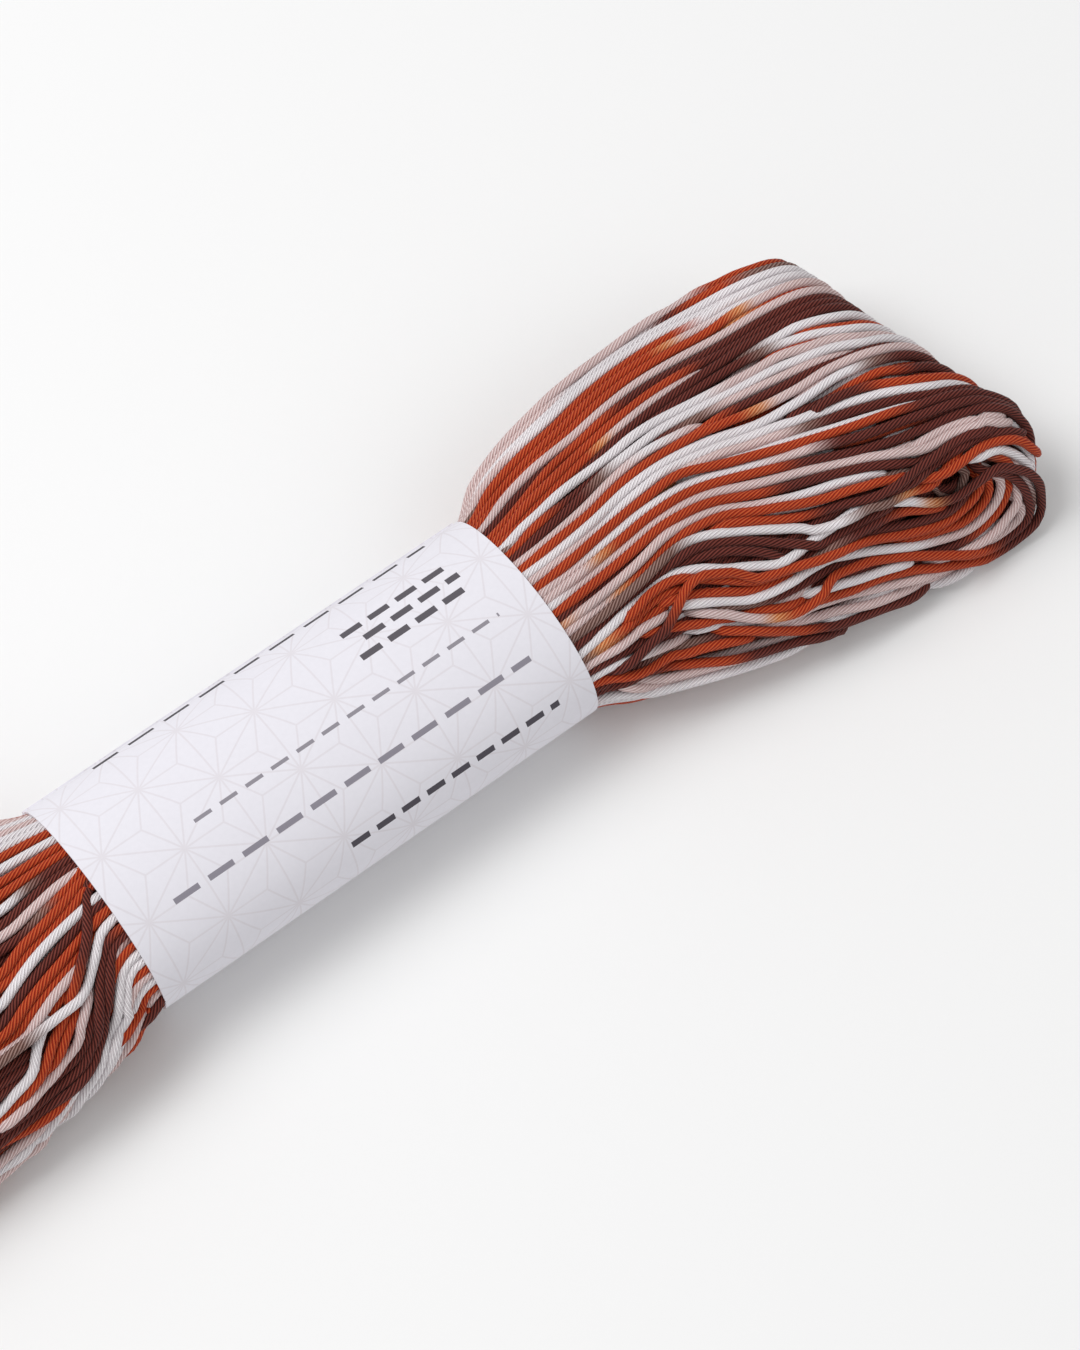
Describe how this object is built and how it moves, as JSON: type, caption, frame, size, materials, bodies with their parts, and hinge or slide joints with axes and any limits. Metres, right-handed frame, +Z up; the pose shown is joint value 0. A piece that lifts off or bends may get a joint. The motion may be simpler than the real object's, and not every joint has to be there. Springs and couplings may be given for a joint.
{
  "type": "skein of sashiko thread",
  "caption": "Flat skein of variegated cotton embroidery thread, looped at both ends and held at its waist by a plain paper band.",
  "frame": {"origin": "middle of the underside of the whole skein, on the surface that it lies on", "axes": "+X along the skein towards the head whose eye shows, +Y across it, +Z up from the surface"},
  "size_m": [0.1566, 0.038, 0.0177],
  "materials": {
    "cotton_thread": "matte dyed cotton thread, in lengths of white, pale pink, rust orange and dark brown",
    "band_paper": "smooth uncoated paper, matte, with a pale grey star lattice"
  },
  "bodies": {
    "root": {"thread_hank": "cotton_thread", "paper_band": "band_paper"}
  },
  "joints": []
}
